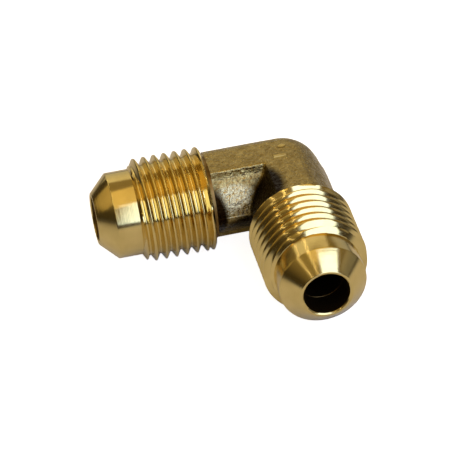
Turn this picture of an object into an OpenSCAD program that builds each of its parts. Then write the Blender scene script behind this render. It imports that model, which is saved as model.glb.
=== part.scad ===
// Ninety degree flare union elbow: a hot-forged brass body with two machined ends.
// Each end has a 1/2-20 UNF thread and a 45 degree nose for flared 5/16 inch tube.
// The two end axes cross at the origin. The left end points along -X, the right end along -Y.

/* [Flare nose] */
// Distance from the crossing of the axes to each end face
centre_to_end = 23.4; // [21:0.01:26]
// Diameter of the drilled passage
bore_d = 5.56; // [4:0.01:6]
// Outer diameter of the flat ring at the tip
tip_d = 6.3; // [6.2:0.1:7]
// Diameter of the plain cylinder between the cone and the thread
pilot_d = 10.5; // [10:0.01:10.9]
// Angle between the sealing cone and the axis
cone_angle = 45; // [40:1:50]
// Length of the plain cylinder
pilot_length = 2.85; // [1.5:0.01:4]

/* [Thread] */
// Outer diameter over the crests
thread_d = 12.7; // [12.4:0.05:12.7]
// Distance from one crest to the next
pitch = 1.27; // [1:0.01:1.5]
// Distance from the crossing to the rear of the threaded length
thread_rear = 9.55; // [8.8:0.05:10]
// Plain collar behind the last groove, which the cutting tool leaves
collar_length = 0.3; // [0.2:0.05:1]

/* [Turned neck] */
// Diameter of the short neck between the thread and the forging
neck_d = 10; // [9.8:0.1:11]
// Distance from the crossing to the rear of the neck, where the forged faces end
neck_rear = 9.1; // [8:0.01:9.3]

/* [Forged body] */
// Height of the top flat above the axes
top = 5.16; // [4.6:0.02:5.2]
// Depth of the bottom flat below the axes, which the real forging has a little nearer
bottom = 4.5; // [4.2:0.02:5.2]
// Distance from each axis to the outer side face of the forging
outer_side = 5.16; // [4.8:0.02:5.3]
// Distance from each axis to the inner side face of the forging
inner_side = 5.08; // [4.8:0.02:5.2]
// Distance from each axis to the outer edge of the top and bottom flats
outer_flat_edge = 2.3; // [1.8:0.1:3]
// Distance from each axis to the inner edge of the top and bottom flats
inner_flat_edge = 2.35; // [1.8:0.05:3]
// Height of the steep step under the inner edge of each flat
inner_step = 0.96; // [0.4:0.02:1.2]
// Distance from each axis to the lower edge of the slanted inner face
inner_shoulder = 4.6; // [4:0.05:5]
// Height of that edge above the axes
inner_shoulder_height = 1.75; // [1:0.05:2.5]
// Half the height of the upright outer side faces
side_half_height = 2.1; // [1.6:0.1:2.6]
// Radius of the outer corner at mid height
knuckle_r = 4.85; // [4.7:0.05:5.1]

/* [Forged mark] */
// Height of the plain raised mark on the top flat
mark_height = 0.12; // [0.08:0.01:0.2]
// Length of the plain bar
mark_bar_length = 1.6; // [1:0.1:2.5]

/* [Hidden] */

$fn = 96;
bore_r = bore_d / 2;
thread_r = thread_d / 2;
cone_length = (pilot_d - tip_d) / 2 / tan(cone_angle);
cone_rear = centre_to_end - cone_length;
thread_front = cone_rear - pilot_length;

// each drill stops this far past the crossing, and leaves a 118 degree point
drill_past = 0.8;
drill_point = bore_r / tan(59);

// thread profile: 60 degree flanks, with flats at the crests and the roots
thread_depth = 0.6134 * pitch;
root_r = thread_r - thread_depth;
crest_flat = pitch / 8;
flank_length = thread_depth * tan(30);
root_flat = pitch - crest_flat - 2 * flank_length;
// the chamfers at both ends of the thread lean this far from the end face
chamfer_angle = 30;
// radius at which the rear chamfer starts
rear_face_r = 6.0;
runout_length = 0.55 * pitch;
// where a crest crosses the top of each thread, from the crossing of the axes
left_crest = 13.6;
right_crest = 13.34;

// points on the thread's surface: columns round the axis, rows along it
columns = 48;
// one turn of the profile, as [distance along the axis from a crest, radius]
profile = [
    [-crest_flat / 2, thread_r],
    [crest_flat / 2, thread_r],
    [crest_flat / 2 + flank_length / 2, (thread_r + root_r) / 2],
    [crest_flat / 2 + flank_length, root_r],
    [crest_flat / 2 + flank_length + root_flat, root_r],
    [pitch - crest_flat / 2 - flank_length / 2, (thread_r + root_r) / 2],
];
steps = len(profile);

// the knuckle swells into each arm over this length
swell_length = 2.4;
// section of the knuckle on its outer side, as [distance from the middle, height]
knuckle_side = [[outer_flat_edge, top], [0.72 * knuckle_r, 0.78 * top],
                [0.97 * knuckle_r, 0.34 * top], [knuckle_r, 0]];
// section of each arm on its outer side
arm_side = [[outer_flat_edge, top], [0.78 * outer_side, 0.76 * top],
            [outer_side, side_half_height], [outer_side, 0]];
// section of each arm on its inner side
inner_half = [[-inner_side, 0], [-inner_side, 0.6], [-inner_shoulder, inner_shoulder_height],
              [-inner_flat_edge - 0.2, top - inner_step], [-inner_flat_edge, top]];

brass_cut = [0.80, 0.62, 0.25];
brass_forged = [0.50, 0.40, 0.18];

// turns the local +Z axis to point out of the left end or the right end
module left_end() rotate([0, -90, 0]) children();
module right_end() rotate([90, 0, 0]) children();

// the drilled passage of one end, along local +Z
module passage() {
    translate([0, 0, -drill_past]) cylinder(h = centre_to_end + drill_past + 1, r = bore_r);
    translate([0, 0, -drill_past - drill_point]) cylinder(h = drill_point, r1 = 0, r2 = bore_r);
}

// radius that the chamfers at both ends of the thread allow at height z
function chamfer_limit(z) = min(
    thread_r,
    pilot_d / 2 + (thread_front - z) / tan(chamfer_angle),
    rear_face_r + (z - thread_rear) / tan(chamfer_angle));

// radius that the groove reaches at height z, as the tool runs out into the collar
function runout(z) =
    thread_r - thread_depth * min(1, max(0, (z - thread_rear - collar_length) / runout_length));

function clamp_z(z) = min(thread_front, max(thread_rear, z));

// threaded sleeve about local +Z; a crest crosses the angle crest_at at the height crest_z
module thread_blank(crest_z, crest_at) {
    turns = ceil((thread_front - thread_rear) / pitch) + 3;
    rows = turns * steps;
    first = crest_z - pitch * ceil((crest_z - thread_rear) / pitch + 1.5);
    function row_z(j, k) = first + pitch * (floor(k / steps) + j / columns) + profile[k % steps][0];
    // rows past either end of the thread share the point on that end
    lowest = [for (j = [0:columns - 1]) max([for (k = [0:rows - 1]) if (row_z(j, k) <= thread_rear) k])];
    highest = [for (j = [0:columns - 1]) min([for (k = [0:rows - 1]) if (row_z(j, k) >= thread_front) k])];
    function kept(j, k) = max(lowest[j], min(highest[j], k));
    // column number columns is column 0 again, one turn further along
    function index(j, k) = j < columns ? j * rows + kept(j, k) : kept(0, k + steps);
    function radius(z, k) = min(chamfer_limit(z), max(profile[k % steps][1], runout(z)));
    points = [
        for (j = [0:columns - 1], k = [0:rows - 1])
        let (z = clamp_z(row_z(j, k)), a = crest_at + 360 * j / columns, r = radius(z, k))
        [r * cos(a), r * sin(a), z]
    ];
    sides = [
        for (j = [0:columns - 1], k = [0:rows - 2])
        let (a = index(j, k), b = index(j + 1, k), c = index(j + 1, k + 1), d = index(j, k + 1))
        each [if (b != c) [a, c, b], if (a != d) [a, d, c]]
    ];
    rear = [for (j = [0:columns - 1]) index(j, 0)];
    front = [for (j = [columns - 1:-1:0]) index(j, rows - 1)];
    polyhedron(points, concat(sides, [rear, front]), convexity = 10);
}

module thread(crest_z, crest_at) {
    difference() {
        thread_blank(crest_z, crest_at);
        passage();
    }
}

// plain cylinder and sealing cone, with the ring at the tip
module flare_nose() {
    difference() {
        rotate_extrude()
            polygon([[0, thread_front], [pilot_d / 2, thread_front], [pilot_d / 2, cone_rear],
                     [tip_d / 2, centre_to_end], [0, centre_to_end]]);
        passage();
    }
}

module neck() {
    difference() {
        translate([0, 0, neck_rear]) cylinder(h = thread_rear - neck_rear, r = neck_d / 2);
        passage();
    }
}

// mirrors the upper half of a section's side to below the axes
function below(half) =
    [for (i = [len(half) - 1:-1:0]) if (half[i][1] > 0) [half[i][0], -half[i][1] * bottom / top]];
function section(outer) = concat(outer, below(outer), below(inner_half), inner_half);

// the part of the left arm between two distances from the crossing; the section's first
// coordinate runs along +Y, and its second along +Z
module slab(outer, from, to) {
    translate([-from, 0, 0]) rotate([90, 0, -90])
        linear_extrude(to - from) mirror([1, 0]) polygon(section(outer));
}

module arm() {
    hull() {
        slab(knuckle_side, 0, 0.01);
        slab(arm_side, swell_length - 0.01, swell_length);
    }
    slab(arm_side, swell_length, neck_rear);
}

module elbow_forging() {
    color(brass_forged) difference() {
        union() {
            arm();
            mirror([1, -1, 0]) arm();
            rotate_extrude() polygon(concat([[0, top]], knuckle_side, below(knuckle_side), [[0, -bottom]]));
        }
        left_end() passage();
        right_end() passage();
    }
}

module left_neck() color(brass_cut) left_end() neck();
module right_neck() color(brass_cut) right_end() neck();
module left_thread() color(brass_cut) left_end() thread(left_crest, 0);
module right_thread() color(brass_cut) right_end() thread(right_crest, 90);
module left_flare_nose() color(brass_cut) left_end() flare_nose();
module right_flare_nose() color(brass_cut) right_end() flare_nose();

// a plain bar and a plain lozenge, raised on the top flat
module forged_mark() {
    color(brass_forged) translate([0, 0, top]) linear_extrude(mark_height) {
        translate([-0.3 - mark_bar_length / 2, -1.6]) square([mark_bar_length, 0.34]);
        translate([0.3, 0.5]) rotate(45) square(0.8, center = true);
    }
}

elbow_forging();
left_neck();
right_neck();
left_thread();
right_thread();
left_flare_nose();
right_flare_nose();
forged_mark();
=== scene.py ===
# %% [markdown]
# # A brass flare elbow
# The real object is one piece of brass. It is forged hot in a pair of dies, which leaves a dull,
# grainy elbow with a parting line, and then both ends are turned and threaded on a lathe, which
# leaves them bright. So this lesson makes two kinds of surface and two kinds of shape: a soft
# loft for the forging, and crisp lathe work for the ends.

# %% Load the frame
import math

import bmesh
import bpy
from mathutils import Matrix, Vector


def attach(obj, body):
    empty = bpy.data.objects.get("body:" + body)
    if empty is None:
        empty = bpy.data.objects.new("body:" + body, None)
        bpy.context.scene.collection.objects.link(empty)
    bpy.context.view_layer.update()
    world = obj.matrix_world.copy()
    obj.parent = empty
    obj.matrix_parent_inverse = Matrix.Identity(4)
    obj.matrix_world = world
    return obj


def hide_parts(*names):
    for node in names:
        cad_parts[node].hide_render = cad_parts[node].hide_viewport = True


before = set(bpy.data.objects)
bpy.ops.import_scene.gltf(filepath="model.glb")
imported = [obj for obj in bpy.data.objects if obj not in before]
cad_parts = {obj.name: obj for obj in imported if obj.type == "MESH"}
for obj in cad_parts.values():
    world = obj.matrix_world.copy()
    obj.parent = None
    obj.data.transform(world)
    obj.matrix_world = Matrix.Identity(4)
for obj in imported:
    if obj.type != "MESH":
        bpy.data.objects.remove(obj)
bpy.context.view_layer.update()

# %% Sizes of the fitting, in millimetres
MM = 0.001
BORE_R = 2.78
TIP_R = 3.15
PILOT_R = 5.25
END = 23.4
CONE_REAR = 21.3
THREAD_FRONT = 18.45
THREAD_REAR = 9.55
NECK_REAR = 9.1
NECK_R = 5.0
THREAD_R = 6.35
PITCH = 1.27
TOP = 5.16
BOTTOM = 4.5
SIDE = 5.16
INNER_SIDE = 5.08

# Each end is made pointing along +Z, and is then turned to point along -X or -Y.
LEFT = Matrix(((0, 0, -1, 0), (0, 1, 0, 0), (1, 0, 0, 0), (0, 0, 0, 1)))
RIGHT = Matrix(((1, 0, 0, 0), (0, 0, -1, 0), (0, 1, 0, 0), (0, 0, 0, 1)))

# %% [markdown]
# ## Patterns that several finishes share
# Brass that has been handled is never one colour. A thin film of oxide darkens it in cloudy
# patches, and a lathe tool or a die leaves its own marks on top. Each of these effects is a node
# group with named inputs, so that every finish can use it with its own values. All of them read
# the piece's own coordinates in millimetres, so the marks stay on the metal when it turns.

# %% Helpers for node groups
def new_group(name, inputs, outputs):
    """An empty node group; inputs and outputs are (name, socket type, default) rows."""
    group = bpy.data.node_groups.new(name, "ShaderNodeTree")
    for label, kind, default in inputs:
        socket = group.interface.new_socket(name=label, in_out="INPUT", socket_type=kind)
        if default is not None:
            socket.default_value = default
    for label, kind in outputs:
        group.interface.new_socket(name=label, in_out="OUTPUT", socket_type=kind)
    return group, group.nodes.new("NodeGroupInput"), group.nodes.new("NodeGroupOutput")


def node(tree, kind, links=(), **values):
    """A node with some properties or input defaults set, and some inputs linked."""
    made = tree.nodes.new(kind)
    for key, value in values.items():
        if hasattr(made, key):
            setattr(made, key, value)
        else:
            made.inputs[key.replace("_", " ")].default_value = value
    for socket, source in links:
        tree.links.new(source, made.inputs[socket])
    return made


# %% Clouds of oxide
def make_oxide_group():
    group, given, out = new_group(
        "oxide_clouds",
        [("Millimetres", "NodeSocketVector", None), ("Size mm", "NodeSocketFloat", 3.0),
         ("Softness", "NodeSocketFloat", 1.0), ("Clean", "NodeSocketColor", None),
         ("Oxidised", "NodeSocketColor", None)],
        [("Color", "NodeSocketColor"), ("Mask", "NodeSocketFloat")])
    scale = node(group, "ShaderNodeMath", [(1, given.outputs["Size mm"])], operation="DIVIDE")
    scale.inputs[0].default_value = 1.0
    clouds = node(group, "ShaderNodeTexNoise",
                  [("Vector", given.outputs["Millimetres"]), ("Scale", scale.outputs[0])],
                  Detail=5.0, Roughness=0.62)
    spread = node(group, "ShaderNodeMath", [(1, given.outputs["Softness"])], operation="MULTIPLY")
    spread.inputs[0].default_value = 0.2
    low = node(group, "ShaderNodeMath", [(1, spread.outputs[0])], operation="SUBTRACT")
    low.inputs[0].default_value = 0.5
    high = node(group, "ShaderNodeMath", [(1, spread.outputs[0])], operation="ADD")
    high.inputs[0].default_value = 0.5
    mask = node(group, "ShaderNodeMapRange",
                [("Value", clouds.outputs["Fac"]), ("From Min", low.outputs[0]),
                 ("From Max", high.outputs[0])])
    mix = node(group, "ShaderNodeMix", data_type="RGBA")
    group.links.new(mask.outputs[0], mix.inputs["Factor"])
    group.links.new(given.outputs["Clean"], mix.inputs[6])
    group.links.new(given.outputs["Oxidised"], mix.inputs[7])
    group.links.new(mix.outputs[2], out.inputs["Color"])
    group.links.new(mask.outputs[0], out.inputs["Mask"])
    return group


OXIDE = make_oxide_group()


# %% Grain of a blasted forging
def make_grain_group():
    """Small rounded dents, with a finer grit between them."""
    group, given, out = new_group(
        "forged_grain",
        [("Millimetres", "NodeSocketVector", None), ("Dent mm", "NodeSocketFloat", 0.3),
         ("Grit mm", "NodeSocketFloat", 0.08)],
        [("Height", "NodeSocketFloat")])
    dent_scale = node(group, "ShaderNodeMath", [(1, given.outputs["Dent mm"])], operation="DIVIDE")
    dent_scale.inputs[0].default_value = 1.0
    grit_scale = node(group, "ShaderNodeMath", [(1, given.outputs["Grit mm"])], operation="DIVIDE")
    grit_scale.inputs[0].default_value = 1.0
    dents = node(group, "ShaderNodeTexVoronoi",
                 [("Vector", given.outputs["Millimetres"]), ("Scale", dent_scale.outputs[0])],
                 feature="SMOOTH_F1", Smoothness=0.6)
    grit = node(group, "ShaderNodeTexNoise",
                [("Vector", given.outputs["Millimetres"]), ("Scale", grit_scale.outputs[0])],
                Detail=2.0)
    height = node(group, "ShaderNodeMath",
                  [(0, dents.outputs["Distance"]), (1, grit.outputs["Fac"])], operation="ADD")
    group.links.new(height.outputs[0], out.inputs["Height"])
    return group


GRAIN = make_grain_group()


# %% Rings that a lathe tool leaves
def make_rings_group():
    """Fine grooves that change only along an end's own axis."""
    group, given, out = new_group(
        "turned_rings",
        [("Millimetres", "NodeSocketVector", None), ("Feed mm", "NodeSocketFloat", 0.1)],
        [("Height", "NodeSocketFloat")])
    split = node(group, "ShaderNodeSeparateXYZ", [(0, given.outputs["Millimetres"])])
    # whichever of X and Y is further out is the distance along that end's axis
    along = node(group, "ShaderNodeMath", [(0, split.outputs["X"]), (1, split.outputs["Y"])],
                 operation="MINIMUM")
    turns = node(group, "ShaderNodeMath", [(0, along.outputs[0]), (1, given.outputs["Feed mm"])],
                 operation="DIVIDE")
    grooves = node(group, "ShaderNodeTexNoise", [("W", turns.outputs[0])],
                   noise_dimensions="1D", Scale=1.0, Detail=3.0, Roughness=0.7)
    group.links.new(grooves.outputs["Fac"], out.inputs["Height"])
    return group


RINGS = make_rings_group()

# %% [markdown]
# ## Six finishes
# *Forged brass* is the skin that the dies and the blasting leave: dull, olive-brown and grainy.
# *Turned brass* is freshly cut metal: it is almost a mirror, but fine rings stretch what it
# reflects. *Threaded brass* is the same metal with finer rings. *Drilled brass* is the wall of the
# passage, and *neck brass* the short groove behind each thread: both are rougher, and their dark
# colour is painted shade for these recesses.
# *Worn brass* is on the raised mark, where the skin has rubbed off. The shader stays in each
# material, and its fixed values sit on its own sockets.

# %% Materials
def metal(name, clean, oxidised, size_mm, softness, rough_low, rough_high):
    """A metal whose colour and roughness follow the oxide clouds. Returns the material and the
    parts of it that later cells add to."""
    material = bpy.data.materials.new(name)
    material.use_nodes = True
    tree = material.node_tree
    tree.nodes.clear()
    place = node(tree, "ShaderNodeTexCoord")
    to_mm = node(tree, "ShaderNodeMapping", [("Vector", place.outputs["Object"])])
    to_mm.inputs["Scale"].default_value = (1 / MM, 1 / MM, 1 / MM)
    clouds = tree.nodes.new("ShaderNodeGroup")
    clouds.node_tree = OXIDE
    tree.links.new(to_mm.outputs[0], clouds.inputs["Millimetres"])
    clouds.inputs["Size mm"].default_value = size_mm
    clouds.inputs["Softness"].default_value = softness
    clouds.inputs["Clean"].default_value = (*clean, 1)
    clouds.inputs["Oxidised"].default_value = (*oxidised, 1)
    shader = node(tree, "ShaderNodeBsdfPrincipled", [("Base Color", clouds.outputs["Color"])],
                  Metallic=1.0)
    rough = node(tree, "ShaderNodeMapRange", [("Value", clouds.outputs["Mask"])])
    rough.inputs["To Min"].default_value = rough_low
    rough.inputs["To Max"].default_value = rough_high
    tree.links.new(rough.outputs[0], shader.inputs["Roughness"])
    node(tree, "ShaderNodeOutputMaterial", [("Surface", shader.outputs[0])])
    return material, tree, to_mm, clouds, shader


def add_bump(tree, shader, height, depth_mm):
    """A bump of the given depth in millimetres."""
    bump = node(tree, "ShaderNodeBump", [("Height", height)], Strength=1.0,
                Distance=depth_mm * MM)
    tree.links.new(bump.outputs[0], shader.inputs["Normal"])


def near(tree, millimetres, centre, squeeze, full, none):
    """1 within the distance full of a centre, 0 beyond none; squeeze scales each axis first."""
    offset = node(tree, "ShaderNodeVectorMath", [(0, millimetres.outputs[0])],
                  operation="SUBTRACT")
    offset.inputs[1].default_value = centre
    scaled = node(tree, "ShaderNodeVectorMath", [(0, offset.outputs[0])], operation="MULTIPLY")
    scaled.inputs[1].default_value = squeeze
    away = node(tree, "ShaderNodeVectorMath", [(0, scaled.outputs[0])], operation="LENGTH")
    mask = node(tree, "ShaderNodeMapRange", [("Value", away.outputs["Value"])],
                interpolation_type="SMOOTHSTEP")
    for key, value in (("From Min", full), ("From Max", none), ("To Min", 1.0), ("To Max", 0.0)):
        mask.inputs[key].default_value = value
    return mask.outputs[0]


FORGED_CLEAN, FORGED_DULL = (0.52, 0.39, 0.14), (0.29, 0.20, 0.055)
# painted shade colour, for the shaded hollows of the forging
PAINTED_SHADE_COLOUR = (0.012, 0.005, 0.0012, 1)
# painted highlight colour, for the slanted inner face of the left arm
PAINTED_HIGHLIGHT_COLOUR = (0.54, 0.45, 0.23, 1)
FILM = 0.22


def forged_brass():
    material, tree, to_mm, clouds, shader = metal(
        "forged_brass", FORGED_CLEAN, FORGED_DULL, 0.8, 1.0, 0.20, 0.32)
    shader.inputs["Coat Roughness"].default_value = 0.25
    grain = tree.nodes.new("ShaderNodeGroup")
    grain.node_tree = GRAIN
    tree.links.new(to_mm.outputs[0], grain.inputs["Millimetres"])
    grain.inputs["Dent mm"].default_value = 0.48
    grain.inputs["Grit mm"].default_value = 0.2
    add_bump(tree, shader, grain.outputs["Height"], 0.09)
    # painted shade: the hollow between the arms, the lower inner face and the shoulder by the neck
    # lie in shade, and the mask held in scale paints them almost black
    corner = near(tree, to_mm, (-3.2, -6.5, 0), (0.8, 0.5, 0), 1.3, 2.3)
    underside = near(tree, to_mm, (-2.4, -7.4, -3.0), (0.5, 1, 1.1), 3.9, 5.0)
    shoulder = near(tree, to_mm, (-NECK_REAR, -5.5, 0), (1, 0.3, 0.3), 0.9, 1.7)
    pair = node(tree, "ShaderNodeMath", [(0, corner), (1, underside)], operation="MAXIMUM")
    scale = node(tree, "ShaderNodeMath", [(0, pair.outputs[0]), (1, shoulder)],
                 operation="MAXIMUM")
    # painted highlight: the slanted face of the left arm is made pale, as if it mirrored more of
    # the front soft box
    painted_highlight = near(tree, to_mm, (-6.8, -4.5, 1.8), (0.65, 1, 0.8), 1.5, 2.2)
    pale = node(tree, "ShaderNodeMix", [("Factor", painted_highlight), (6, clouds.outputs["Color"])],
                data_type="RGBA")
    pale.inputs[7].default_value = PAINTED_HIGHLIGHT_COLOUR
    skin = node(tree, "ShaderNodeMix", [("Factor", scale.outputs[0]), (6, pale.outputs[2])],
                data_type="RGBA")
    skin.inputs[7].default_value = PAINTED_SHADE_COLOUR
    tree.links.new(skin.outputs[2], shader.inputs["Base Color"])
    # a thin clear film lies everywhere but on the painted shade
    film = node(tree, "ShaderNodeMath", [(0, scale.outputs[0])], operation="MULTIPLY_ADD")
    film.inputs[1].default_value, film.inputs[2].default_value = -FILM, FILM
    tree.links.new(film.outputs[0], shader.inputs["Coat Weight"])
    return material


BRIGHT = (0.80, 0.62, 0.25)
BRIGHT_DULL = (0.70, 0.53, 0.20)


def turned_brass(name, clean, dull, feed_mm, depth_mm, rough_low, rough_high):
    material, tree, to_mm, _, shader = metal(name, clean, dull, 2.2, 1.0, rough_low, rough_high)
    rings = tree.nodes.new("ShaderNodeGroup")
    rings.node_tree = RINGS
    tree.links.new(to_mm.outputs[0], rings.inputs["Millimetres"])
    rings.inputs["Feed mm"].default_value = feed_mm
    add_bump(tree, shader, rings.outputs["Height"], depth_mm)
    return material


FORGED = forged_brass()
TURNED = turned_brass("turned_brass", BRIGHT, BRIGHT_DULL, 0.16, 0.006, 0.12, 0.18)
THREADED = turned_brass("threaded_brass", BRIGHT, BRIGHT_DULL, 0.05, 0.001, 0.09, 0.15)
# painted shade: the bore's wall gets a dark brass colour for the shade inside the passage
BORE_PAINTED_SHADE = turned_brass("drilled_brass_painted_shade", (0.26, 0.16, 0.05), (0.15, 0.09, 0.03), 0.2, 0.01, 0.3, 0.4)
# painted shade: the neck gets a dark brass colour for the shade in the groove behind each thread
NECK_PAINTED_SHADE = turned_brass("neck_brass_painted_shade", (0.36, 0.22, 0.07), (0.2, 0.12, 0.04), 0.2, 0.01, 0.35, 0.5)
WORN = metal("worn_brass", (0.70, 0.54, 0.21), (0.5, 0.37, 0.13), 0.8, 1.0, 0.25, 0.35)[0]
print("finishes:", [m.name for m in (FORGED, TURNED, THREADED, BORE_PAINTED_SHADE, NECK_PAINTED_SHADE, WORN)])

# %% [markdown]
# ## Turning a bmesh into a finished piece
# Every piece ends the same way. Vertices that coincide are merged, the faces are made to point
# outwards, and edges where two faces meet at a steep angle are marked sharp, so that smooth
# shading doesn't smear over them. The bore's wall gets its own material.

# %% Finish a piece
def in_bore(point):
    """True for a point, in millimetres, on the wall of either drilled passage."""
    x, y, z = point
    left = x < 1 and math.hypot(y, z) < BORE_R + 0.02
    right = y < 1 and math.hypot(x, z) < BORE_R + 0.02
    return left or right


def finish_piece(bm, name, slot, material, sharp_degrees=28, bore=False):
    """Makes the object from a bmesh in millimetres, in the row frame."""
    bmesh.ops.remove_doubles(bm, verts=bm.verts, dist=1e-4)
    bmesh.ops.recalc_face_normals(bm, faces=bm.faces)
    for face in bm.faces:
        face.smooth = True
        face.material_index = int(bore and in_bore(face.calc_center_median()))
    for edge in bm.edges:
        if len(edge.link_faces) == 2:
            edge.smooth = edge.calc_face_angle(0) < math.radians(sharp_degrees)
    bmesh.ops.scale(bm, vec=(MM, MM, MM), verts=bm.verts)
    mesh = bpy.data.meshes.new(name)
    bm.to_mesh(mesh)
    bm.free()
    mesh.materials.append(material)
    if bore:
        mesh.materials.append(BORE_PAINTED_SHADE)
    piece = bpy.data.objects.new(name, mesh)
    bpy.context.scene.collection.objects.link(piece)
    mesh.calc_loop_triangles()
    print(name, "triangles:", len(mesh.loop_triangles))
    return piece


def outline(bm, points, round_mm, only):
    """A closed wire through (radius, height) points; those numbered in only are rounded."""
    verts = [bm.verts.new((x, 0, z)) for x, z in points]
    for a, b in zip(verts, verts[1:] + verts[:1]):
        bm.edges.new((a, b))
    if only:
        bmesh.ops.bevel(bm, geom=[verts[i] for i in only], offset=round_mm,
                        offset_type="OFFSET", segments=3, profile=0.5, affect="VERTICES",
                        material=-1)


# %% [markdown]
# ## Flare noses
# The tip of each end is a plain cylinder and then a 45 degree cone, which presses into the flared
# tube. Both come from one lathe operation, so a spun outline is the natural way: draw half of the
# section, round its corners by the radius of the tool, and spin it once round the axis.

# %% Turn the noses and the necks
LATHE_STEPS = 160
TOOL_RADIUS = 0.07


def turned_piece(points, turn, only=()):
    bm = bmesh.new()
    outline(bm, points, TOOL_RADIUS, only)
    bmesh.ops.spin(bm, geom=bm.verts[:] + bm.edges[:], cent=(0, 0, 0), axis=(0, 0, 1),
                   angle=2 * math.pi, steps=LATHE_STEPS, use_merge=True)
    bmesh.ops.transform(bm, matrix=turn, verts=bm.verts)
    return bm


MOUTH = 0.14
RING_AT = END - 3.4
RING_HEIGHT = 0.02
RING_LENGTH = 0.5
NOSE = [(BORE_R, THREAD_FRONT), (PILOT_R, THREAD_FRONT), (PILOT_R, CONE_REAR),
        (TIP_R, END), (BORE_R + MOUTH, END), (BORE_R, END - MOUTH), (BORE_R, RING_AT),
        (BORE_R - RING_HEIGHT, RING_AT - RING_HEIGHT), (BORE_R, RING_AT - RING_LENGTH)]
NECK = [(BORE_R, NECK_REAR), (NECK_R, NECK_REAR), (NECK_R, THREAD_REAR), (BORE_R, THREAD_REAR)]

for side, turn in (("left", LEFT), ("right", RIGHT)):
    nose = finish_piece(turned_piece(NOSE, turn, only=(2, 3, 4)),
                        side + "_nose", "brass_machined", TURNED, bore=True)
    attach(nose, "root")
    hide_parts(side + "_flare_nose")
    neck = finish_piece(turned_piece(NECK, turn), side + "_turned_neck",
                        "brass_machined", NECK_PAINTED_SHADE, bore=True)
    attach(neck, "root")
    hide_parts(side + "_neck")

# %% [markdown]
# ## Threads
# A thread is one groove that climbs by a pitch for each turn. The spin operator can do the same:
# it turns the profile of every groove once round the axis, and its dvec moves the profile along
# by a little at each step. After a whole turn each groove meets the next one, and merging the
# doubled vertices joins them. Two flat cuts then trim the ends, and the bore's wall closes it.

# %% Cut the threads
THREAD_STEPS = 180
DEPTH = 0.6134 * PITCH
ROOT_R = THREAD_R - DEPTH
CREST_FLAT = PITCH / 8
FLANK = DEPTH * math.tan(math.radians(30))
ROOT_FLAT = PITCH - CREST_FLAT - 2 * FLANK
COLLAR = 0.3
RUNOUT = 0.55 * PITCH
CHAMFER = math.tan(math.radians(30))
REAR_FACE_R = 6.0
LEFT_CREST, RIGHT_CREST = 13.6, 13.34


def one_groove(z):
    """Profile points (radius, height) from one crest to just before the next."""
    half = CREST_FLAT / 2
    ease = 0.05
    points = [(THREAD_R, z - half + ease), (THREAD_R, z + half - ease),
              (THREAD_R - 0.03, z + half + 0.01)]
    for share in (0.25, 0.5, 0.75):
        points.append((THREAD_R - DEPTH * share, z + half + FLANK * share))
    bottom = z + half + FLANK
    points += [(ROOT_R + 0.05, bottom - 0.03), (ROOT_R, bottom + ease),
               (ROOT_R, bottom + ROOT_FLAT - ease), (ROOT_R + 0.05, bottom + ROOT_FLAT + 0.03)]
    for share in (0.75, 0.5, 0.25):
        points.append((THREAD_R - DEPTH * share, z + PITCH - half - FLANK * share))
    points.append((THREAD_R - 0.03, z + PITCH - half - 0.01))
    return points


def blank_radius(z):
    """Radius that the end chamfers leave at height z."""
    return min(THREAD_R, PILOT_R + (THREAD_FRONT - z) / CHAMFER,
               REAR_FACE_R + (z - THREAD_REAR) / CHAMFER)


def groove_floor(z):
    """Radius that the tool reaches at height z, as it pulls out before the collar."""
    share = min(1, max(0, (z - THREAD_REAR - COLLAR) / RUNOUT))
    return THREAD_R - DEPTH * share


def cut_thread(crest, start_angle, turn):
    """A crest crosses start_angle at the height crest, measured from +X towards +Y."""
    bm = bmesh.new()
    below = math.ceil((crest - THREAD_REAR) / PITCH) + 2
    grooves = math.ceil((THREAD_FRONT - THREAD_REAR) / PITCH) + 4
    points = [p for k in range(grooves) for p in one_groove(crest + (k - below) * PITCH)]
    verts = [bm.verts.new((r, 0, z)) for r, z in points]
    edges = [bm.edges.new(pair) for pair in zip(verts, verts[1:])]
    bmesh.ops.spin(bm, geom=verts + edges, cent=(0, 0, 0), axis=(0, 0, 1), angle=2 * math.pi,
                   steps=THREAD_STEPS, dvec=(0, 0, PITCH / THREAD_STEPS))
    bmesh.ops.remove_doubles(bm, verts=bm.verts, dist=1e-3)
    for z, way in ((THREAD_REAR, -1), (THREAD_FRONT, 1)):
        bmesh.ops.bisect_plane(bm, geom=bm.verts[:] + bm.edges[:] + bm.faces[:], dist=1e-5,
                               plane_co=(0, 0, z), plane_no=(0, 0, way), clear_outer=True)
    for vert in bm.verts:
        radius = math.hypot(vert.co.x, vert.co.y)
        wanted = min(blank_radius(vert.co.z), max(radius, groove_floor(vert.co.z)))
        vert.co.x *= wanted / radius
        vert.co.y *= wanted / radius
    rims = [e for e in bm.edges if e.is_boundary]
    bmesh.ops.extrude_edge_only(bm, edges=rims)
    for vert in [v for v in bm.verts if any(e.is_boundary for e in v.link_edges)]:
        radius = math.hypot(vert.co.x, vert.co.y)
        vert.co.x *= BORE_R / radius
        vert.co.y *= BORE_R / radius
    bmesh.ops.bridge_loops(bm, edges=[e for e in bm.edges if e.is_boundary])
    bmesh.ops.rotate(bm, verts=bm.verts, cent=(0, 0, 0),
                     matrix=Matrix.Rotation(math.radians(start_angle), 3, "Z"))
    bmesh.ops.transform(bm, matrix=turn, verts=bm.verts)
    return bm


for side, turn, crest, start in (("left", LEFT, LEFT_CREST, 0),
                                 ("right", RIGHT, RIGHT_CREST, 90)):
    thread = finish_piece(cut_thread(crest, start, turn), side + "_cut_thread",
                          "brass_machined", THREADED, sharp_degrees=35, bore=True)
    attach(thread, "root")
    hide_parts(side + "_thread")

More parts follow.
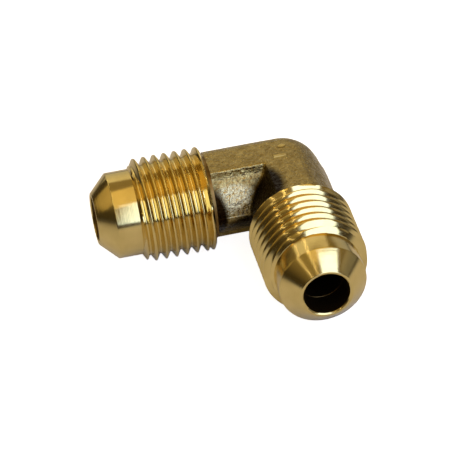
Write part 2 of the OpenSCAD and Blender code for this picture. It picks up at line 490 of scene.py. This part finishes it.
# %% [markdown]
# ## The forging
# Both arms share one section: flat on top, slanted, upright at the side. Outside the bend the
# section swings round the corner, and inside it the two arms meet in a valley. The piece is
# symmetric about the plane between the arms, so only the left half is made: the section is
# extruded along the arm, its outer part is spun half way round the corner, and a mirrored copy
# makes the rest. The valley is then beveled, as a die always has a radius there.

# %% The section of an arm
OUTER_FLAT = 2.3
INNER_FLAT = 2.35
INNER_STEP = 0.96
INNER_SHOULDER = (4.6, 1.75)
SWELL_START = 2.4
# (outward distance, height)
OUTER_SIDE = [(OUTER_FLAT, TOP), (0.78 * SIDE, 0.77 * TOP), (SIDE, 0.38 * TOP)]
RIDGE_HALF = 0.16
RIDGE_OUT = 0.07
OUTER_ROUND, SHOULDER_ROUND, STEP_ROUND = 0.75, 0.45, 0.22


def arm_section(bm):
    """A closed wire in the plane X = 0, with Y outwards; corners are rounded on each side."""
    outer = [(0, TOP)] + OUTER_SIDE + [(SIDE, RIDGE_HALF), (SIDE + RIDGE_OUT, RIDGE_HALF / 2)]
    inner = [(-INNER_SIDE - RIDGE_OUT, RIDGE_HALF / 2), (-INNER_SIDE, RIDGE_HALF),
             (-INNER_SIDE, 0.6), (-INNER_SHOULDER[0], INNER_SHOULDER[1]),
             (-INNER_FLAT - 0.2, TOP - INNER_STEP), (-INNER_FLAT, TOP)]
    half = inner + outer
    points = half + [(a, -z * (BOTTOM / TOP if z > 1 else 1)) for a, z in reversed(half)]
    verts = [bm.verts.new((0, a, z)) for a, z in points]
    for a, b in zip(verts, verts[1:] + verts[:1]):
        bm.edges.new((a, b))
    soft = [v for v in verts if v.co.y > 1 and abs(v.co.z) > 1]
    crisp = [v for v in verts if v.co.y < -4 and abs(v.co.z) > 1]
    step = [v for v in verts if -4 < v.co.y < -1]
    for corners, offset, segments in ((soft, OUTER_ROUND, 4), (crisp, SHOULDER_ROUND, 3),
                                      (step, STEP_ROUND, 3)):
        bmesh.ops.bevel(bm, geom=[v for v in corners if v.is_valid], offset=offset,
                        offset_type="OFFSET", segments=segments, profile=0.5,
                        affect="VERTICES", material=-1)


def smooth_step(t):
    return t * t * (3 - 2 * t)


def knuckle_point(a, z):
    """Where a point on an arm's outer side goes at the corner, which is rounder."""
    rounder = 1 - 0.055 * smooth_step(min(1, max(0, (a - OUTER_FLAT) / (SIDE - OUTER_FLAT))))
    lower = 1 - 0.02 * smooth_step(min(1, max(0, (a - OUTER_FLAT) / (0.5 * SIDE))))
    return a * rounder, z * lower


# %% Loft the left half
ARM_STOPS = (0.35, 0.5, 0.65, 0.8, 0.9, 1.0)
CORNER_STEPS = 12


def half_forging():
    bm = bmesh.new()
    arm_section(bm)
    home = {v: (v.co.y, v.co.z) for v in bm.verts}
    ring = list(home.items())
    for vert, (a, z) in ring:
        vert.co = (-NECK_REAR, a, z)
    edges = bm.edges[:]
    for share in ARM_STOPS:
        made = bmesh.ops.extrude_edge_only(bm, edges=edges)["geom"]
        edges = [g for g in made if isinstance(g, bmesh.types.BMEdge)
                 and all(v in made for v in g.verts)]
        for vert in [g for g in made if isinstance(g, bmesh.types.BMVert)]:
            a, z = section_of(vert, ring)
            end = a if a < 0 else 0.0
            x = -NECK_REAR + (end + NECK_REAR) * share
            swell = smooth_step(min(1, max(0, (x + SWELL_START) / SWELL_START)))
            round_a, round_z = knuckle_point(a, z) if a > 0 else (a, z)
            vert.co = (x, a + (round_a - a) * swell, z + (round_z - z) * swell)
            home[vert] = (a, z)
        ring = [(v, home[v]) for v in [g for g in made if isinstance(g, bmesh.types.BMVert)]]
    outside = [e for e in edges if all(v.co.y > -1e-6 for v in e.verts)]
    bmesh.ops.spin(bm, geom=outside + list({v for e in outside for v in e.verts}),
                   cent=(0, 0, 0), axis=(0, 0, -1), angle=math.radians(45),
                   steps=CORNER_STEPS)
    return bm


def section_of(vert, ring):
    """The (distance, height) of the ring's vertex that an extruded vertex sits on."""
    nearest = min(ring, key=lambda pair: (pair[0].co - vert.co).length_squared)
    return nearest[1]


# %% Mirror it, round the valley and drill it
PAST_CROSSING = 0.8
DRILL_POINT = BORE_R / math.tan(math.radians(59))
DRILL_START = NECK_REAR + 2
VALLEY_BEVEL = 1.7


def drill(turn):
    """The shape that a drill removes from one end: a cylinder with a 118 degree point."""
    bm = bmesh.new()
    points = [(0, -PAST_CROSSING - DRILL_POINT), (BORE_R, -PAST_CROSSING),
              (BORE_R, DRILL_START), (0, DRILL_START)]
    verts = [bm.verts.new((r, 0, z)) for r, z in points]
    edges = [bm.edges.new(pair) for pair in zip(verts, verts[1:])]
    bmesh.ops.spin(bm, geom=verts + edges, cent=(0, 0, 0), axis=(0, 0, 1), angle=2 * math.pi,
                   steps=96, use_merge=True)
    bmesh.ops.remove_doubles(bm, verts=bm.verts, dist=1e-4)
    bmesh.ops.recalc_face_normals(bm, faces=bm.faces)
    bmesh.ops.transform(bm, matrix=turn, verts=bm.verts)
    mesh = bpy.data.meshes.new("drill")
    bm.to_mesh(mesh)
    bm.free()
    cutter = bpy.data.objects.new("drill", mesh)
    bpy.context.scene.collection.objects.link(cutter)
    return cutter


def whole_forging():
    bm = half_forging()
    copy = bmesh.ops.duplicate(bm, geom=bm.verts[:] + bm.edges[:] + bm.faces[:])["geom"]
    swap = Matrix(((0, 1, 0, 0), (1, 0, 0, 0), (0, 0, 1, 0), (0, 0, 0, 1)))
    bmesh.ops.transform(bm, matrix=swap,
                        verts=[g for g in copy if isinstance(g, bmesh.types.BMVert)])
    bmesh.ops.remove_doubles(bm, verts=bm.verts, dist=1e-3)
    bmesh.ops.holes_fill(bm, edges=[e for e in bm.edges if e.is_boundary], sides=0)
    bmesh.ops.recalc_face_normals(bm, faces=bm.faces)
    valley = [e for e in bm.edges
              if all(abs(v.co.x - v.co.y) < 1e-3 and v.co.x < -1 for v in e.verts)
              and e.calc_face_angle(0) > math.radians(5)]
    bmesh.ops.bevel(bm, geom=valley, offset=VALLEY_BEVEL, offset_type="OFFSET", segments=8,
                    profile=0.5, affect="EDGES", clamp_overlap=True, material=-1)
    print("valley edges rounded:", len(valley))
    return bm


def drilled_copy(bm):
    """bm with both passages cut out of it, as a new bmesh."""
    bmesh.ops.triangulate(bm, faces=[f for f in bm.faces if len(f.verts) > 4])
    bmesh.ops.recalc_face_normals(bm, faces=bm.faces)
    mesh = bpy.data.meshes.new("blank")
    bm.to_mesh(mesh)
    bm.free()
    blank = bpy.data.objects.new("blank", mesh)
    bpy.context.scene.collection.objects.link(blank)
    cutters = [drill(LEFT), drill(RIGHT)]
    for cutter in cutters:
        cut = blank.modifiers.new("cut", "BOOLEAN")
        cut.object, cut.operation, cut.solver = cutter, "DIFFERENCE", "EXACT"
    drilled = bmesh.new()
    drilled.from_object(blank, bpy.context.evaluated_depsgraph_get())
    for thing in cutters + [blank]:
        bpy.data.objects.remove(thing)
    return drilled


body = finish_piece(drilled_copy(whole_forging()), "forged_body", "brass_forged", FORGED,
                    sharp_degrees=40, bore=True)
even = body.modifiers.new("even_shading", "WEIGHTED_NORMAL")
even.keep_sharp = True
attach(body, "root")
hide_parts("elbow_forging")

# %% [markdown]
# ## The raised mark
# Forgers cut a mark into the die, and it stands up on the part. Here it is only a plain bar and a
# plain lozenge. Each is an extruded outline whose upper edges are beveled, since the metal never
# fills a die's sharp corners.

# %% Raise the mark
BAR = [(-1.1, -1.65), (0.5, -1.65), (0.5, -1.22), (-1.1, -1.22)]
LOZENGE = [(0.3, 0.1), (0.86, 0.5), (0.3, 0.9), (-0.26, 0.5)]
SUNK = 0.05


def raised_shape(bm, points, height):
    verts = [bm.verts.new((x, y, TOP - SUNK)) for x, y in points]
    face = bm.faces.new(verts)
    made = bmesh.ops.extrude_face_region(bm, geom=[face])["geom"]
    top = [g for g in made if isinstance(g, bmesh.types.BMVert)]
    bmesh.ops.translate(bm, verts=top, vec=(0, 0, height + SUNK))
    rim = [g for g in made if isinstance(g, bmesh.types.BMEdge)]
    bmesh.ops.bevel(bm, geom=rim, offset=height * 0.6, offset_type="OFFSET", segments=3,
                    profile=0.5, affect="EDGES", material=-1)


bm = bmesh.new()
raised_shape(bm, BAR, 0.1)
raised_shape(bm, LOZENGE, 0.07)
mark = finish_piece(bm, "raised_mark", "brass_forged", WORN)
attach(mark, "root")
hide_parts("forged_mark")

# %% [markdown]
# ## Studio
# Polished metal shows its surroundings more than itself, so the lights are part of the look. A
# wide soft box stands in front, a weaker warm one hangs overhead, and dim panels fill the sides.
# Two thin strips draw the fine bright lines along the left end. Near the horizon the room is
# dark, which gives the bands that make metal read as metal. The floor is pale under the fitting,
# and it too fades to dark a little way off, except where the camera looks at it.

# %% Camera
R = THREAD_R * MM
AZIMUTH, ELEVATION, ROLL = math.radians(-9.968), math.radians(35.271), math.radians(-4.965)
DISTANCE = 64.2265 * R
OFF_RIGHT, OFF_UP = -1.0113 * R, -0.8955 * R

back = Vector((math.sin(AZIMUTH) * math.cos(ELEVATION),
               -math.cos(AZIMUTH) * math.cos(ELEVATION), math.sin(ELEVATION)))
level = Vector((math.cos(AZIMUTH), math.sin(AZIMUTH), 0))
upright = back.cross(level)
right = math.cos(ROLL) * level + math.sin(ROLL) * upright
up = -math.sin(ROLL) * level + math.cos(ROLL) * upright
stand = back * DISTANCE
aim = right * OFF_RIGHT + up * OFF_UP
depth = (stand - aim).normalized()
across = up.cross(depth).normalized()
over = depth.cross(across)

lens = bpy.data.cameras.new("camera")
lens.sensor_width = 36
lens.lens = 262.06
lens.clip_start, lens.clip_end = 0.01, 20
camera = bpy.data.objects.new("camera", lens)
turned = Matrix((across, over, depth)).transposed().to_4x4()
camera.matrix_world = Matrix.Translation(stand) @ turned
bpy.context.scene.collection.objects.link(camera)
bpy.context.scene.camera = camera
print("camera at", tuple(round(c, 4) for c in stand))

# %% Floor
FLOOR_HALF = 3.0
PALE_CENTRE, PALE_SQUEEZE = (0.01, -0.02, 0), (1, 0.4, 1)
SEEN_WHITE = 1.75
bm = bmesh.new()
bmesh.ops.create_grid(bm, x_segments=1, y_segments=1, size=FLOOR_HALF)
bmesh.ops.translate(bm, verts=bm.verts, vec=(0, 0, -THREAD_R * MM))
floor_mesh = bpy.data.meshes.new("floor")
bm.to_mesh(floor_mesh)
bm.free()
floor = bpy.data.objects.new("floor", floor_mesh)
bpy.context.scene.collection.objects.link(floor)

paper = bpy.data.materials.new("pale_paper")
paper.use_nodes = True
tree = paper.node_tree
tree.nodes.clear()
place = node(tree, "ShaderNodeTexCoord")
around = node(tree, "ShaderNodeVectorMath", [(0, place.outputs["Object"])], operation="SUBTRACT")
around.inputs[1].default_value = PALE_CENTRE
squeeze = node(tree, "ShaderNodeVectorMath", [(0, around.outputs[0])], operation="MULTIPLY")
squeeze.inputs[1].default_value = PALE_SQUEEZE
away = node(tree, "ShaderNodeVectorMath", [(0, squeeze.outputs[0])], operation="LENGTH")
pale = node(tree, "ShaderNodeMapRange", [("Value", away.outputs["Value"])],
            interpolation_type="SMOOTHSTEP")
for key, value in (("From Min", 0.03), ("From Max", 0.13), ("To Min", 0.85), ("To Max", 0.1)):
    pale.inputs[key].default_value = value
diffuse = node(tree, "ShaderNodeBsdfDiffuse", [("Color", pale.outputs[0])])
rays = node(tree, "ShaderNodeLightPath")
glow = node(tree, "ShaderNodeEmission")
white = node(tree, "ShaderNodeMath", [(1, pale.outputs[0])], operation="SUBTRACT")
white.inputs[0].default_value = SEEN_WHITE
lift = node(tree, "ShaderNodeMath", [(0, rays.outputs["Is Camera Ray"]), (1, white.outputs[0])],
            operation="MULTIPLY")
tree.links.new(lift.outputs[0], glow.inputs["Strength"])
both = node(tree, "ShaderNodeAddShader", [(0, diffuse.outputs[0]), (1, glow.outputs[0])])
node(tree, "ShaderNodeOutputMaterial", [("Surface", both.outputs[0])])
floor_mesh.materials.append(paper)


# %% Soft boxes and the room
def soft_box(name, azimuth, elevation, distance, width, height, radiance, colour=(1, 1, 1),
             lean=0):
    """A rectangular light that faces the fitting, leaning by some degrees to its own right.
    Azimuth turns from +Y towards +X."""
    turn, lift = math.radians(azimuth), math.radians(elevation)
    where = Vector((math.sin(turn) * math.cos(lift), math.cos(turn) * math.cos(lift),
                    math.sin(lift))) * distance
    light = bpy.data.lights.new(name, "AREA")
    light.shape, light.size, light.size_y = "RECTANGLE", width, height
    light.energy = radiance * math.pi * width * height
    light.color = colour
    lamp = bpy.data.objects.new(name, light)
    facing = where.to_track_quat("Z", "Y").to_matrix().to_4x4()
    leaning = Matrix.Rotation(math.radians(-lean), 4, "Z")
    lamp.matrix_world = Matrix.Translation(where) @ facing @ leaning
    bpy.context.scene.collection.objects.link(lamp)


WARM = (1.0, 0.75, 0.30)
DAYLIGHT = (0.48, 0.62, 1.0)
soft_box("front_box", 157, 29, 0.8, 0.62, 0.80, 3.3, DAYLIGHT, lean=18)
soft_box("overhead", 150, 79, 0.9, 1.0, 0.72, 0.62, WARM)
soft_box("back_panel", 357, 22, 0.9, 0.9, 0.85, 0.52, (1, 0.95, 0.75))
soft_box("right_panel", 108, 12, 0.9, 0.5, 0.4, 0.17)
soft_box("far_panel", 42, 12, 0.9, 0.6, 0.4, 0.35)
soft_box("left_panel", 293, 20, 0.9, 0.66, 0.3, 0.4, WARM)
for lift in (46, 72):
    soft_box("strip", 270, lift, 1.0, 4.0, 0.018, 5.0, (1, 0.86, 0.55))

world = bpy.data.worlds.new("dim_room")
bpy.context.scene.world = world
world.use_nodes = True
sky = world.node_tree
sky.nodes["Background"].inputs["Color"].default_value = (1.0, 0.74, 0.32, 1)
way = node(sky, "ShaderNodeTexCoord")
split = node(sky, "ShaderNodeSeparateXYZ", [(0, way.outputs["Generated"])])
fade = node(sky, "ShaderNodeMapRange", [("Value", split.outputs["Z"])])
for key, value in (("From Min", 0.15), ("From Max", 0.65), ("To Min", 0.05), ("To Max", 0.28)):
    fade.inputs[key].default_value = value
sky.links.new(fade.outputs[0], sky.nodes["Background"].inputs["Strength"])
bpy.context.scene.view_settings.view_transform = "Standard"
